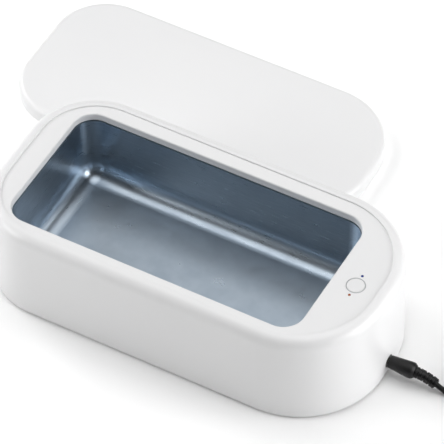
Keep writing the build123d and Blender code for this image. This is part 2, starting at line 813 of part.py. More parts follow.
# The strain relief bends down towards the floor: a thin sleeve with ribs round it.
relief_radius = cable_radius + 0.9
rib_radius = cable_radius + 1.55
rib_taper = 0.03            # each rib is this much smaller than the one before
relief_ribs = 7
rib_width = 1.2
relief_bend = relief_length / radians(relief_drop)
with BuildPart() as plug_relief:
    with BuildLine(Plane(origin=(body_x, body_y + jack_y, jack_z), x_dir=(1, 0, 0), z_dir=(0, -1, 0))):
        relief_path = JernArc(start=(plug_end, 0), tangent=(1, 0), radius=relief_bend, arc_size=-relief_drop)
    with BuildSketch(facing_right(plug_end, jack_y, jack_z)):
        Circle(relief_radius)
    sweep(path=relief_path)
    for i in range(relief_ribs):
        along = (i + 0.5) / relief_ribs
        middle = Plane(origin=relief_path @ along, z_dir=relief_path % along)
        with BuildSketch(middle.offset(-rib_width / 2)):
            Circle(rib_radius - i * rib_taper)
        extrude(amount=rib_width)
plug_relief.part.label = "plug_relief"
export_step(plug_relief.part, "parts/plug_relief.step")


# ---- power lead: cable ----
def cable(points, name):
    """A free stretch of cable through these points, with each bend as wide as its runs allow."""
    points = [Vector(*p) for p in points]
    bends = []
    for before, corner, after in zip(points, points[1:], points[2:]):
        turn = radians((corner - before).get_angle(after - corner))
        shorter = min((corner - before).length, (after - corner).length)
        bends.append(0.45 * shorter / tan(turn / 2))
    print(name, "bend radii", [round(r, 1) for r in bends], "mm, cable", cable_diameter, "mm")
    with BuildPart(mode=Mode.PRIVATE) as piece:
        with BuildLine():
            run = FilletPolyline(*points, radius=bends)
        with BuildSketch(Plane(origin=run @ 0, z_dir=run % 0)):
            Circle(cable_radius)
        sweep()
    ideal = pi * cable_radius ** 2 * run.length
    print(name, "length", round(run.length, 1), "mm, volume", round(piece.part.volume / ideal, 4), "of ideal")
    return piece.part


# The cable drops from the strain relief to the floor and runs into a put-away coil.
coil_columns = 4
coil_rows = 3
coil_mid_radius = 5.5 * cable_diameter
tie_thickness = 0.6
tie_gap = 0.35
coil_lift = tie_thickness + tie_gap
coil_height = coil_rows * cable_diameter
coil_half_width = coil_columns * cable_diameter / 2
coil_x = body_x + body_length / 2 + 57.5
coil_y = body_y + jack_y + 16.0
end_x = body_x + body_length / 2
end_y = body_y + jack_y
lead_route = [
    (30.4, 0.0, 2.72),
    (35.3, -0.3, cable_radius + 0.05),
    (42.8, -0.9, cable_radius),
    (50.0, -0.5, cable_radius + 0.3),
]
relief_end = relief_path @ 1
entry_z = coil_lift + cable_radius + 0.25
coil_entry = (coil_x, coil_y - coil_mid_radius, entry_z)
with BuildPart() as lead_cable:
    add(cable([relief_end] + [(end_x + x, end_y + y, z) for x, y, z in lead_route] + [coil_entry], "lead_cable"))
lead_cable.part.label = "lead_cable"
export_step(lead_cable.part, "parts/lead_cable.step")

with BuildPart() as lead_coil:
    with BuildSketch(Plane(origin=(coil_x, coil_y, coil_lift))):
        Circle(coil_mid_radius + coil_half_width)
        Circle(coil_mid_radius - coil_half_width, mode=Mode.SUBTRACT)
    extrude(amount=coil_height)
    fillet(lead_coil.edges().filter_by(GeomType.CIRCLE), 1.2)
lead_coil.part.label = "lead_coil"
export_step(lead_coil.part, "parts/lead_coil.step")

tie_width = 5.0
with BuildPart() as coil_ties:
    for angle in (135.0, 315.0):
        out = Vector(cos(radians(angle)), sin(radians(angle)), 0)
        middle = Vector(coil_x, coil_y, coil_lift + coil_height / 2) + out * coil_mid_radius
        with BuildSketch(Plane(origin=middle, x_dir=out, z_dir=out.cross(Vector(0, 0, 1)))):
            Rectangle(2 * (coil_half_width + tie_gap + tie_thickness),
                      coil_height + 2 * (tie_gap + tie_thickness))
            Rectangle(2 * (coil_half_width + tie_gap), coil_height + 2 * tie_gap, mode=Mode.SUBTRACT)
        extrude(amount=tie_width / 2, both=True)
coil_ties.part.label = "coil_ties"
export_step(coil_ties.part, "parts/coil_ties.step")

# From the coil the cable runs on along the floor and up into the adapter.
tail_route = [
    (0.5, 6.5, cable_radius + 0.2),
    (1.2, 13.0, cable_radius),
    (1.8, 19.2, cable_radius + 1.3),
    (2.1, 25.5, 4.2),
]
adapter_exit_z = 4.2
adapter_relief_length = 9.0
tail_start = (coil_x + coil_mid_radius, coil_y, entry_z)
adapter_x = coil_x + coil_mid_radius + 2.1
adapter_tip_y = coil_y + 31.5
with BuildPart() as lead_tail:
    add(cable([tail_start] + [(coil_x + coil_mid_radius + x, coil_y + y, z) for x, y, z in tail_route]
              + [(adapter_x, adapter_tip_y, adapter_exit_z)], "lead_tail"))
lead_tail.part.label = "lead_tail"
export_step(lead_tail.part, "parts/lead_tail.step")

# ---- power lead: wall adapter, lying on its side ----
adapter_width = 40.0
adapter_length = 58.0
adapter_height = 27.0
adapter_wall = 2.0
adapter_split = 6.0         # depth of the blade-side cover
adapter_round = 3.0
adapter_y = adapter_tip_y + adapter_relief_length
blade_length = 17.0
blade_width = 6.3
blade_thickness = 1.5
blade_pitch = 12.7
blade_root = 5.0
adapter_left = adapter_x - adapter_width / 2
split_x = adapter_left + adapter_split
adapter_middle = adapter_y + adapter_length / 2
blade_y = adapter_middle + 8.0
cable_axis = Plane(origin=(adapter_x, adapter_tip_y, adapter_exit_z), x_dir=(1, 0, 0), z_dir=(0, 1, 0))


def across_adapter(x):
    """A plane that looks along +X at the middle of the adapter: its x is +Y, its y is +Z."""
    return Plane(origin=(x, adapter_middle, adapter_height / 2), x_dir=(0, 1, 0), z_dir=(1, 0, 0))


with BuildPart() as adapter_relief:
    with BuildSketch(cable_axis):
        Circle(relief_radius)
    extrude(amount=adapter_relief_length)
    for i in range(5):
        with BuildSketch(cable_axis.offset(0.4 + i * 1.8)):
            Circle(rib_radius)
        extrude(amount=rib_width)
adapter_relief.part.label = "adapter_relief"
export_step(adapter_relief.part, "parts/adapter_relief.step")

with BuildPart() as adapter_case:
    with BuildSketch(across_adapter(split_x)):
        RectangleRounded(adapter_length, adapter_height, adapter_round)
    extrude(amount=adapter_width - adapter_split)
    fillet(adapter_case.faces().sort_by(Axis.X)[-1].edges(), adapter_round)
    with BuildSketch(across_adapter(split_x)):
        RectangleRounded(adapter_length - 2 * adapter_wall, adapter_height - 2 * adapter_wall, 1.0)
    extrude(amount=adapter_width - adapter_split - adapter_wall, mode=Mode.SUBTRACT)
adapter_case.part.label = "adapter_case"
export_step(adapter_case.part, "parts/adapter_case.step")

with BuildPart() as adapter_cover:
    with BuildSketch(across_adapter(adapter_left)):
        RectangleRounded(adapter_length, adapter_height, adapter_round)
    extrude(amount=adapter_split)
    fillet(adapter_cover.faces().sort_by(Axis.X)[0].edges(), 1.0)
    with BuildSketch(across_adapter(adapter_left + adapter_wall)):
        RectangleRounded(adapter_length - 2 * adapter_wall, adapter_height - 2 * adapter_wall, 1.0)
    extrude(amount=adapter_split - adapter_wall, mode=Mode.SUBTRACT)
    with BuildSketch(across_adapter(adapter_left)):
        with Locations((blade_y - adapter_middle, 0)):
            with GridLocations(1, blade_pitch, 1, 2):
                Rectangle(blade_width, blade_thickness)
    extrude(amount=adapter_wall, mode=Mode.SUBTRACT)
adapter_cover.part.label = "adapter_cover"
export_step(adapter_cover.part, "parts/adapter_cover.step")

with BuildPart() as adapter_blades:
    with BuildSketch(across_adapter(adapter_left - blade_length)):
        with Locations((blade_y - adapter_middle, 0)):
            with GridLocations(1, blade_pitch, 1, 2):
                Rectangle(blade_width, blade_thickness)
    extrude(amount=blade_length + blade_root)
    chamfer(adapter_blades.faces().filter_by(Axis.X).group_by(Axis.X)[0].edges(), 0.5)
    with BuildSketch(Plane(origin=(adapter_left - blade_length + 3.8, blade_y, 0))):
        Circle(1.6)
    extrude(amount=adapter_height, mode=Mode.SUBTRACT)
adapter_blades.part.label = "adapter_blades"
export_step(adapter_blades.part, "parts/adapter_blades.step")

adapter_board_x = split_x + 6.0
with BuildPart() as adapter_board:
    with BuildSketch(across_adapter(adapter_board_x)):
        Rectangle(adapter_length - 2 * adapter_wall - 2.0, adapter_height - 2 * adapter_wall - 1.0)
    extrude(amount=board_thickness)
adapter_board.part.label = "adapter_board"
export_step(adapter_board.part, "parts/adapter_board.step")

with BuildPart() as adapter_transformer:
    with BuildSketch(across_adapter(adapter_board_x + board_thickness)):
        with Locations((-6.0, 0)):
            RectangleRounded(18.0, 16.0, 1.0)
    extrude(amount=15.0)
adapter_transformer.part.label = "adapter_transformer"
export_step(adapter_transformer.part, "parts/adapter_transformer.step")
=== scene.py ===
# A small ultrasonic cleaner: white housing, steel tank, loose lid and a black power lead.
import math
import bpy
from mathutils import Matrix, Vector


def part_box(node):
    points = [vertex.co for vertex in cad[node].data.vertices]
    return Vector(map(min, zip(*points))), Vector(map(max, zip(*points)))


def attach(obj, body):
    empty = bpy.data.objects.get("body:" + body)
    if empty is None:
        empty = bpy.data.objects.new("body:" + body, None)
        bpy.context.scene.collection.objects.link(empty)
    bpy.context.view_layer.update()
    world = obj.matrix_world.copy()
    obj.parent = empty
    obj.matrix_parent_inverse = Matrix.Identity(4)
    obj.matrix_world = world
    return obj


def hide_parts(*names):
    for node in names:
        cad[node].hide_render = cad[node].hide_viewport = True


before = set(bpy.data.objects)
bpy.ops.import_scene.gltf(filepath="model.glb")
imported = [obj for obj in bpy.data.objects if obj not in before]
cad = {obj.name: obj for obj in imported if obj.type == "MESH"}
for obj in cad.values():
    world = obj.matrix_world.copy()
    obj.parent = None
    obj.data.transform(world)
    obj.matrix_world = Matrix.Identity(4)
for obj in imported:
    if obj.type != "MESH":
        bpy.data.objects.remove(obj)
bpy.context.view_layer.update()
hair = 1e-6                    # metres, closer than this is the same place
squareOn = 0.9                 # a face looks along an axis when its normal reaches this far
mouldGloss = (0.85, 1.15)      # lowest and highest roughness over a moulding, against its own value
metalGloss = (0.75, 1.25)      # the same over a worked metal
lineDepth = 0.00005            # metres, depth of the lines in a worked metal
print("frame loaded with", len(cad), "CAD nodes")


def linear(hexColour):
    # an sRGB hex value turned to linear, with full alpha
    parts = [int(hexColour[i:i + 2], 16) / 255 for i in (1, 3, 5)]
    return [c / 12.92 if c <= 0.04045 else ((c + 0.055) / 1.055) ** 2.4 for c in parts] + [1.0]


def addNode(tree, kind, settings=None, values=None, links=None):
    # one node, with its settings, socket values and incoming links
    node = tree.nodes.new(kind)
    for name, value in (settings or {}).items():
        setattr(node, name, value)
    for socket, value in (values or {}).items():
        node.inputs[socket].default_value = value
    for socket, source in (links or {}).items():
        tree.links.new(source, node.inputs[socket])
    return node


def startMaterial(name, look):
    # a material with its plain values set; returns its tree, shader and object coordinates
    material = bpy.data.materials.new(name)
    material.use_nodes = True
    tree = material.node_tree
    shader = tree.nodes["Principled BSDF"]
    shader.inputs["Base Color"].default_value = linear(look["colour"])
    shader.inputs["Roughness"].default_value = look["roughness"]
    shader.inputs["Metallic"].default_value = look.get("metallic", 0.0)
    if "ior" in look:
        shader.inputs["IOR"].default_value = look["ior"]
    place = addNode(tree, "ShaderNodeTexCoord").outputs["Object"]
    return material, tree, shader, place


def mouldedPlastic(name, look):
    # injection moulded: a faint colour drift from the flow of the melt, a grain from the
    # mould's surface, and a gloss that is a little uneven
    material, tree, shader, place = startMaterial(name, look)
    flow = addNode(tree, "ShaderNodeTexNoise", values={"Scale": 1000 / look["flowMm"], "Detail": 2.0},
                   links={"Vector": place})
    tint = addNode(tree, "ShaderNodeMix", {"data_type": "RGBA"},
                   {"A": linear(look["colour"]), "B": linear(look["drift"])},
                   {"Factor": flow.outputs["Fac"]})
    tree.links.new(tint.outputs["Result"], shader.inputs["Base Color"])
    gloss = addNode(tree, "ShaderNodeMapRange",
                    values={"To Min": look["roughness"] * mouldGloss[0],
                            "To Max": look["roughness"] * mouldGloss[1]},
                    links={"Value": flow.outputs["Fac"]})
    tree.links.new(gloss.outputs["Result"], shader.inputs["Roughness"])
    grain = addNode(tree, "ShaderNodeTexNoise",
                    values={"Scale": 1000 / look["grainMm"], "Detail": 3.0, "Roughness": 0.6},
                    links={"Vector": place})
    bump = addNode(tree, "ShaderNodeBump",
                   values={"Strength": look["grainStrength"], "Distance": look["grainDepthMm"] / 1000},
                   links={"Height": grain.outputs["Fac"]})
    tree.links.new(bump.outputs["Normal"], shader.inputs["Normal"])
    return material


def workedMetal(name, look):
    # drawn, rolled or turned: fine lines along one direction, and a gloss that follows them
    material, tree, shader, place = startMaterial(name, look)
    along = addNode(tree, "ShaderNodeMapping", values={"Scale": look["stretch"]},
                    links={"Vector": place})
    lines = addNode(tree, "ShaderNodeTexNoise",
                    values={"Scale": 1000 / look["lineMm"], "Detail": 2.0, "Roughness": 0.65},
                    links={"Vector": along.outputs["Vector"]})
    tint = addNode(tree, "ShaderNodeMix", {"data_type": "RGBA"},
                   {"A": linear(look["colour"]), "B": linear(look["drift"])},
                   {"Factor": lines.outputs["Fac"]})
    tree.links.new(tint.outputs["Result"], shader.inputs["Base Color"])
    gloss = addNode(tree, "ShaderNodeMapRange",
                    values={"To Min": look["roughness"] * metalGloss[0],
                            "To Max": look["roughness"] * metalGloss[1]},
                    links={"Value": lines.outputs["Fac"]})
    tree.links.new(gloss.outputs["Result"], shader.inputs["Roughness"])
    bump = addNode(tree, "ShaderNodeBump",
                   values={"Strength": look["lineStrength"], "Distance": lineDepth},
                   links={"Height": lines.outputs["Fac"]})
    tree.links.new(bump.outputs["Normal"], shader.inputs["Normal"])
    return material


# white glossy ABS from a polished mould: bright, with soft highlights and a trace of orange peel
whiteAbs = mouldedPlastic("glossyWhiteAbs", dict(
    colour="#e4e4e4", drift="#e0e0e1", roughness=0.32, ior=1.53, flowMm=55, grainMm=2.2,
    grainDepthMm=0.02, grainStrength=0.12))
# white ABS from an etched mould: the same plastic, matt to the eye and finely pebbled
etchedAbs = mouldedPlastic("etchedWhiteAbs", dict(
    colour="#dcdddd", drift="#d6d7d8", roughness=0.55, ior=1.53, flowMm=40, grainMm=0.7,
    grainDepthMm=0.06, grainStrength=0.5))
# grey ABS trim, smooth: the thin line round the button
greyTrim = mouldedPlastic("satinGreyAbs", dict(
    colour="#b3b5b7", drift="#abadb0", roughness=0.32, ior=1.53, flowMm=12, grainMm=0.8,
    grainDepthMm=0.02, grainStrength=0.2))
# cap of the button: the housing's white, glossier where fingers polish it
buttonAbs = mouldedPlastic("polishedWhiteAbs", dict(
    colour="#e2e2e2", drift="#dededf", roughness=0.24, ior=1.53, flowMm=9, grainMm=1.2,
    grainDepthMm=0.01, grainStrength=0.12))
# black PVC, pressed round the plug and run round the cable: soft, waxy black with low gloss
blackPvc = mouldedPlastic("softBlackPvc", dict(
    colour="#080809", drift="#0d0d0e", roughness=0.4, ior=1.42, flowMm=14, grainMm=0.5,
    grainDepthMm=0.03, grainStrength=0.35))
# black ABS of the adapter: a spark-eroded grain that breaks up the highlights
blackAbs = mouldedPlastic("grainedBlackAbs", dict(
    colour="#18181a", drift="#1f1f21", roughness=0.5, ior=1.53, flowMm=30, grainMm=0.6,
    grainDepthMm=0.08, grainStrength=0.6))
# black nylon: ties, the jack and the small parts on the boards
blackNylon = mouldedPlastic("blackNylon", dict(
    colour="#141415", drift="#1b1b1c", roughness=0.38, ior=1.53, flowMm=8, grainMm=0.4,
    grainDepthMm=0.02, grainStrength=0.25))
# silicone rubber: translucent off-white, dull and slightly dusty
silicone = mouldedPlastic("pressedSilicone", dict(
    colour="#d9d8d2", drift="#cfcdc6", roughness=0.6, ior=1.41, flowMm=18, grainMm=0.5,
    grainDepthMm=0.04, grainStrength=0.3))
# grey rubber feet: matt and open-grained
footRubber = mouldedPlastic("greyRubber", dict(
    colour="#8b8c8c", drift="#7d7e7f", roughness=0.82, ior=1.52, flowMm=6, grainMm=0.5,
    grainDepthMm=0.08, grainStrength=0.7))
# red PVC insulation on the inner wires
redPvc = mouldedPlastic("redPvcInsulation", dict(
    colour="#9c2018", drift="#8a1a14", roughness=0.4, ior=1.52, flowMm=9, grainMm=0.4,
    grainDepthMm=0.02, grainStrength=0.25))
# grey flat cable: its conductors show as fine ridges, here a grain a little coarser than they are
ribbonPvc = mouldedPlastic("greyRibbonPvc", dict(
    colour="#a5a6a8", drift="#94959a", roughness=0.45, ior=1.52, flowMm=3, grainMm=0.9,
    grainDepthMm=0.08, grainStrength=0.6))
# shrunk sleeve of the electrolytic capacitors: dark blue, glossy
sleeveVinyl = mouldedPlastic("navyShrinkSleeve", dict(
    colour="#171c33", drift="#1e2440", roughness=0.22, ior=1.52, flowMm=5, grainMm=0.8,
    grainDepthMm=0.02, grainStrength=0.3))
# dipped film capacitor: orange-brown lacquer with a wavy surface
filmLacquer = mouldedPlastic("brownDippedLacquer", dict(
    colour="#8d3018", drift="#7b2813", roughness=0.2, ior=1.5, flowMm=5, grainMm=2.5,
    grainDepthMm=0.15, grainStrength=0.5))
# epoxy that holds the transducer: amber, cured with a rippled surface
epoxy = mouldedPlastic("curedEpoxy", dict(
    colour="#b9a46c", drift="#a8925a", roughness=0.3, ior=1.55, flowMm=8, grainMm=2.0,
    grainDepthMm=0.1, grainStrength=0.5))
# sintered PZT ceramic under a fired silver face: pale, chalky grey-tan
pztCeramic = mouldedPlastic("sinteredPzt", dict(
    colour="#b4a88f", drift="#c2b8a2", roughness=0.7, ior=1.6, flowMm=4, grainMm=0.3,
    grainDepthMm=0.03, grainStrength=0.5))
# sintered ferrite: near black, dense and matt
ferrite = mouldedPlastic("sinteredFerrite", dict(
    colour="#2b2b2e", drift="#353539", roughness=0.6, ior=1.6, flowMm=4, grainMm=0.3,
    grainDepthMm=0.04, grainStrength=0.6))

# deep-drawn 304 stainless, satin inside: cool grey with fine lines round the walls
drawnSteel = workedMetal("drawnStainless", dict(
    colour="#bcc8d3", drift="#a1aebb", roughness=0.3, metallic=1.0, stretch=(0.08, 0.08, 1.0),
    lineMm=0.9, lineStrength=0.12))
# zinc-plated steel screws and clamps: pale grey with a faint straw tint
zincSteel = workedMetal("zincPlatedSteel", dict(
    colour="#b6b5ac", drift="#a4a49f", roughness=0.34, metallic=1.0, stretch=(1.0, 1.0, 1.0),
    lineMm=0.7, lineStrength=0.25))
# nickel-plated brass: plug sleeve, jack contacts and mains blades, with rolled lines along X
nickelBrass = workedMetal("nickelPlatedBrass", dict(
    colour="#cfc9bb", drift="#bfb9ab", roughness=0.2, metallic=1.0, stretch=(0.08, 1.0, 1.0),
    lineMm=0.5, lineStrength=0.2))
# extruded aluminium heat sink: die lines run up the fins
extrudedAluminium = workedMetal("extrudedAluminium", dict(
    colour="#b9bcbf", drift="#a6a9ad", roughness=0.36, metallic=1.0, stretch=(1.0, 1.0, 0.06),
    lineMm=0.5, lineStrength=0.35))
# enamelled copper winding: turns of 0.3 mm wire, drawn as lines round the core
enamelCopper = workedMetal("enamelledCopper", dict(
    colour="#b2672f", drift="#7e3f17", roughness=0.28, metallic=0.9, stretch=(0.06, 0.06, 1.0),
    lineMm=0.5, lineStrength=0.9))


def circuitBoard(name, look):
    # glass-epoxy board under green solder mask: paler tracks in a grid, and holes of tin
    material, tree, shader, place = startMaterial(name, look)
    cells = addNode(tree, "ShaderNodeTexVoronoi", {"feature": "F1", "distance": "CHEBYCHEV"},
                    {"Scale": 1000 / look["trackMm"]}, {"Vector": place})
    steps = addNode(tree, "ShaderNodeValToRGB", links={"Fac": cells.outputs["Distance"]})
    steps.color_ramp.elements[0].position = look["padFrom"]
    steps.color_ramp.elements[0].color = linear(look["pad"])
    steps.color_ramp.elements[1].position = look["maskFrom"]
    steps.color_ramp.elements[1].color = linear(look["colour"])
    track = steps.color_ramp.elements.new(look["trackFrom"])
    track.color = linear(look["track"])
    steps.color_ramp.interpolation = "CONSTANT"
    tree.links.new(steps.outputs["Color"], shader.inputs["Base Color"])
    weave = addNode(tree, "ShaderNodeTexNoise", values={"Scale": 1000 / look["weaveMm"]},
                    links={"Vector": place})
    bump = addNode(tree, "ShaderNodeBump",
                   values={"Strength": look["weaveStrength"], "Distance": look["weaveDepthMm"] / 1000},
                   links={"Height": weave.outputs["Fac"]})
    tree.links.new(bump.outputs["Normal"], shader.inputs["Normal"])
    return material


boardGreen = circuitBoard("solderMaskedBoard", dict(
    colour="#17502f", track="#1f6a3e", pad="#c7c2b4", roughness=0.35, ior=1.5, trackMm=4.5,
    padFrom=0.16, maskFrom=0.22, trackFrom=0.42, weaveMm=0.625, weaveDepthMm=0.04, weaveStrength=0.3))


def litLens(name, look):
    # clear acrylic light pipe, lit from below: its colour mixed in noise specks with a brighter core
    # colour, and an even glow
    material, tree, shader, place = startMaterial(name, look)
    specks = addNode(tree, "ShaderNodeTexNoise", values={"Scale": look["specksPerMetre"]},
                     links={"Vector": place})
    tint = addNode(tree, "ShaderNodeMix", {"data_type": "RGBA"},
                   {"A": linear(look["colour"]), "B": linear(look["core"])},
                   {"Factor": specks.outputs["Fac"]})
    tree.links.new(tint.outputs["Result"], shader.inputs["Base Color"])
    shader.inputs["Emission Color"].default_value = linear(look["colour"])
    shader.inputs["Emission Strength"].default_value = look["glow"]
    return material


blueLens = litLens("blueAcrylic", dict(
    colour="#142560", core="#1e3a8a", roughness=0.15, ior=1.49, glow=0.06,
    specksPerMetre=900.0))
redLens = litLens("amberRedAcrylic", dict(
    colour="#7c3a1a", core="#a55a30", roughness=0.15, ior=1.49, glow=0.08,
    specksPerMetre=900.0))
print("materials made")

finishes = {
    whiteAbs: ["housing", "lid"],
    etchedAbs: ["base_cover"],
    greyTrim: ["button_ring"],
    buttonAbs: ["power_button"],
    blackPvc: ["adapter_relief"],
    blackAbs: ["adapter_case", "adapter_cover"],
    blackNylon: ["power_jack", "plug_insulator", "tact_switch", "switch_plunger", "driver_chip",
                 "power_transistor"],
    silicone: ["tank_seal"],
    footRubber: ["feet"],
    redPvc: ["piezo_leads", "jack_leads"],
    ribbonPvc: ["switch_ribbon"],
    sleeveVinyl: ["capacitors"],
    filmLacquer: ["film_capacitor"],
    epoxy: ["piezo_bond"],
    pztCeramic: ["piezo_disc"],
    ferrite: ["transformer_core", "adapter_transformer"],
    drawnSteel: ["tank"],
    zincSteel: ["base_screws", "tank_clamps", "clamp_screws", "board_screws", "switch_board_screws",
                "transistor_screw"],
    nickelBrass: ["plug_barrel", "jack_pin", "jack_terminals", "adapter_blades"],
    extrudedAluminium: ["heat_sink"],
    enamelCopper: ["transformer_coil"],
    boardGreen: ["main_board", "switch_board", "adapter_board"],
    blueLens: ["blue_led", "blue_light_pipe"],
    redLens: ["red_led", "red_light_pipe"],
}
for material, names in finishes.items():
    for name in names:
        cad[name].data.materials.clear()
        cad[name].data.materials.append(material)

# camera: a long lens, above and to the right of the front
cameraLook = dict(lens=316.98, sensor=36, nearest=0.1, azimuth=30.037, elevation=48.489, roll=-1.258,
                  place=(0.68326, -1.16462, 1.51606))      # millimetres, degrees, metres
camera = bpy.data.objects.new("camera", bpy.data.cameras.new("camera"))
bpy.context.scene.collection.objects.link(camera)
camera.data.sensor_width = cameraLook["sensor"]
camera.data.lens = cameraLook["lens"]
camera.data.clip_start = cameraLook["nearest"]
azimuth = math.radians(cameraLook["azimuth"])
elevation = math.radians(cameraLook["elevation"])
roll = math.radians(cameraLook["roll"])
backward = Vector((math.sin(azimuth) * math.cos(elevation), -math.cos(azimuth) * math.cos(elevation),
                   math.sin(elevation)))
sideways = Vector((math.cos(azimuth), math.sin(azimuth), 0))
upward = backward.cross(sideways)
turned = Matrix((math.cos(roll) * sideways + math.sin(roll) * upward,
                 math.cos(roll) * upward - math.sin(roll) * sideways, backward)).transposed()
camera.matrix_world = Matrix.Translation(cameraLook["place"]) @ turned.to_4x4()
bpy.context.scene.camera = camera

# plug: one overmould, widening to a shoulder for the fingers, then a chamfer down to the relief;
# each step is a length and the radius at its end
plugLow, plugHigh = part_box("plug_body")
plugY, plugZ = (plugLow[1] + plugHigh[1]) / 2, (plugLow[2] + plugHigh[2]) / 2
plugLook = dict(sides=64, noseRadius=0.0033, edge=0.0004, edgeSteps=4, bevelAbove=15.0,
                smoothBelow=40.0,
                steps=[(0.0110, 0.0043), (0.0018, 0.0043), (0.0017, 0.0031)])
bpy.ops.object.select_all(action="DESELECT")
bpy.ops.mesh.primitive_circle_add(vertices=plugLook["sides"], radius=plugLook["noseRadius"],
                                  fill_type="NGON",
                                  location=(plugLow[0], plugY, plugZ), rotation=(0, math.pi / 2, 0))
plug = bpy.context.object
plug.name = "plugOvermould"
bpy.ops.object.transform_apply(location=True, rotation=True, scale=True)
bpy.ops.object.mode_set(mode="EDIT")
bpy.ops.mesh.select_all(action="SELECT")
reach, radius = plugLow[0], plugLook["noseRadius"]
for length, nextRadius in plugLook["steps"]:
    reach += length
    bpy.ops.mesh.extrude_region_move(TRANSFORM_OT_translate={"value": (length, 0, 0)})
    growth = nextRadius / radius
    bpy.ops.transform.resize(value=(1, growth, growth), center_override=(reach, plugY, plugZ))
    radius = nextRadius
bpy.ops.mesh.select_all(action="SELECT")
bpy.ops.mesh.normals_make_consistent(inside=False)
bpy.ops.object.mode_set(mode="OBJECT")
rounding = plug.modifiers.new("rounding", "BEVEL")
rounding.width = plugLook["edge"]
rounding.segments = plugLook["edgeSteps"]
rounding.limit_method = "ANGLE"
rounding.angle_limit = math.radians(plugLook["bevelAbove"])
bpy.ops.object.modifier_apply(modifier="rounding")
bpy.ops.object.shade_smooth_by_angle(angle=math.radians(plugLook["smoothBelow"]))
plug.data.materials.append(blackPvc)
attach(plug, "power_lead")
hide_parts("plug_body")
print("plug moulded")

# strain relief: a sleeve that bends down, with a rib at each step and webs that join the ribs in turn
reliefLook = dict(sides=40, length=0.0120, drop=30.0, steps=14, sleeveRadius=0.00232, smoothBelow=35.0,
                  ribs=7, ribRadius=0.00297, ribWidth=0.00112, ribEdge=0.0003, ribEdgeSteps=3,
                  taper=0.005, webWidth=0.0022, webDepth=0.0007, webEdge=0.00015, webEdgeSteps=2,
                  webShort=0.0002, webRaise=0.0001)
reliefBend = reliefLook["length"] / math.radians(reliefLook["drop"])
reliefCentre = Vector((reach, plugY, plugZ - reliefBend))
bpy.ops.object.select_all(action="DESELECT")
bpy.ops.mesh.primitive_circle_add(vertices=reliefLook["sides"], radius=reliefLook["sleeveRadius"],
                                  fill_type="NGON",
                                  location=(reach, plugY, plugZ), rotation=(0, math.pi / 2, 0))
relief = bpy.context.object
relief.name = "strainRelief"
bpy.ops.object.transform_apply(location=True, rotation=True, scale=True)
bpy.ops.object.mode_set(mode="EDIT")
bpy.ops.mesh.select_all(action="SELECT")
bpy.ops.mesh.spin(steps=reliefLook["steps"], angle=-math.radians(reliefLook["drop"]),
                  center=reliefCentre, axis=(0, 1, 0))
bpy.ops.object.mode_set(mode="OBJECT")

# one rib, with its two rims rounded
bpy.ops.object.select_all(action="DESELECT")
bpy.ops.mesh.primitive_cylinder_add(vertices=reliefLook["sides"], radius=reliefLook["ribRadius"],
                                    depth=reliefLook["ribWidth"], rotation=(0, math.pi / 2, 0))
rib = bpy.context.object
bpy.ops.object.transform_apply(location=False, rotation=True, scale=False)
bpy.ops.object.mode_set(mode="EDIT")
bpy.ops.mesh.select_all(action="DESELECT")
bpy.ops.object.mode_set(mode="OBJECT")
for edge in rib.data.edges:      # the two rims
    ends = [rib.data.vertices[i].co.x for i in edge.vertices]
    edge.select = abs(ends[0] - ends[1]) < hair
bpy.ops.object.mode_set(mode="EDIT")
bpy.ops.mesh.bevel(offset=reliefLook["ribEdge"], segments=reliefLook["ribEdgeSteps"], affect="EDGES")
bpy.ops.object.mode_set(mode="OBJECT")

# one web, as long as the gap between two ribs
ribPitch = math.radians(reliefLook["drop"]) / reliefLook["ribs"]
bpy.ops.object.select_all(action="DESELECT")
bpy.ops.mesh.primitive_cube_add(size=1)
web = bpy.context.object
web.name = "web"
web.dimensions = (reliefBend * ribPitch - reliefLook["webShort"],
                  reliefLook["webWidth"], reliefLook["webDepth"])
bpy.ops.object.transform_apply(location=False, rotation=False, scale=True)
bpy.ops.object.mode_set(mode="EDIT")
bpy.ops.mesh.select_all(action="SELECT")
bpy.ops.mesh.bevel(offset=reliefLook["webEdge"], segments=reliefLook["webEdgeSteps"], affect="EDGES")
bpy.ops.object.mode_set(mode="OBJECT")

# copies of both along the bend, joined to the sleeve
reliefPieces = [relief]
for i in range(reliefLook["ribs"]):
    turn = (i + 0.5) * ribPitch
    size = 1 - i * reliefLook["taper"]
    ring = rib.copy()
    ring.data = rib.data.copy()
    bpy.context.scene.collection.objects.link(ring)
    ring.matrix_world = (Matrix.Translation(reliefCentre) @ Matrix.Rotation(turn, 4, "Y")
                         @ Matrix.Translation((0, 0, reliefBend)) @ Matrix.Diagonal((1, size, size, 1)))
    reliefPieces.append(ring)
    if i < reliefLook["ribs"] - 1:
        for side in (0, 180):
            bridge = web.copy()
            bridge.data = web.data.copy()
            bpy.context.scene.collection.objects.link(bridge)
            around = math.radians(side + 90 * (i % 2))
            outward = reliefLook["sleeveRadius"] + reliefLook["webRaise"]
            bridge.matrix_world = (Matrix.Translation(reliefCentre)
                                   @ Matrix.Rotation(turn + ribPitch / 2, 4, "Y")
                                   @ Matrix.Translation((0, 0, reliefBend))
                                   @ Matrix.Rotation(around, 4, "X")
                                   @ Matrix.Translation((0, 0, outward)))
            reliefPieces.append(bridge)
bpy.data.objects.remove(rib)
bpy.data.objects.remove(web)
bpy.ops.object.select_all(action="DESELECT")
for piece in reliefPieces:
    piece.select_set(True)
bpy.context.view_layer.objects.active = relief
bpy.ops.object.join()
bpy.ops.object.transform_apply(location=True, rotation=True, scale=True)
bpy.ops.object.mode_set(mode="EDIT")
bpy.ops.mesh.select_all(action="SELECT")
bpy.ops.mesh.remove_doubles(threshold=hair)
bpy.ops.mesh.normals_make_consistent(inside=False)
bpy.ops.object.mode_set(mode="OBJECT")
bpy.ops.object.shade_smooth_by_angle(angle=math.radians(reliefLook["smoothBelow"]))
relief.data.materials.clear()
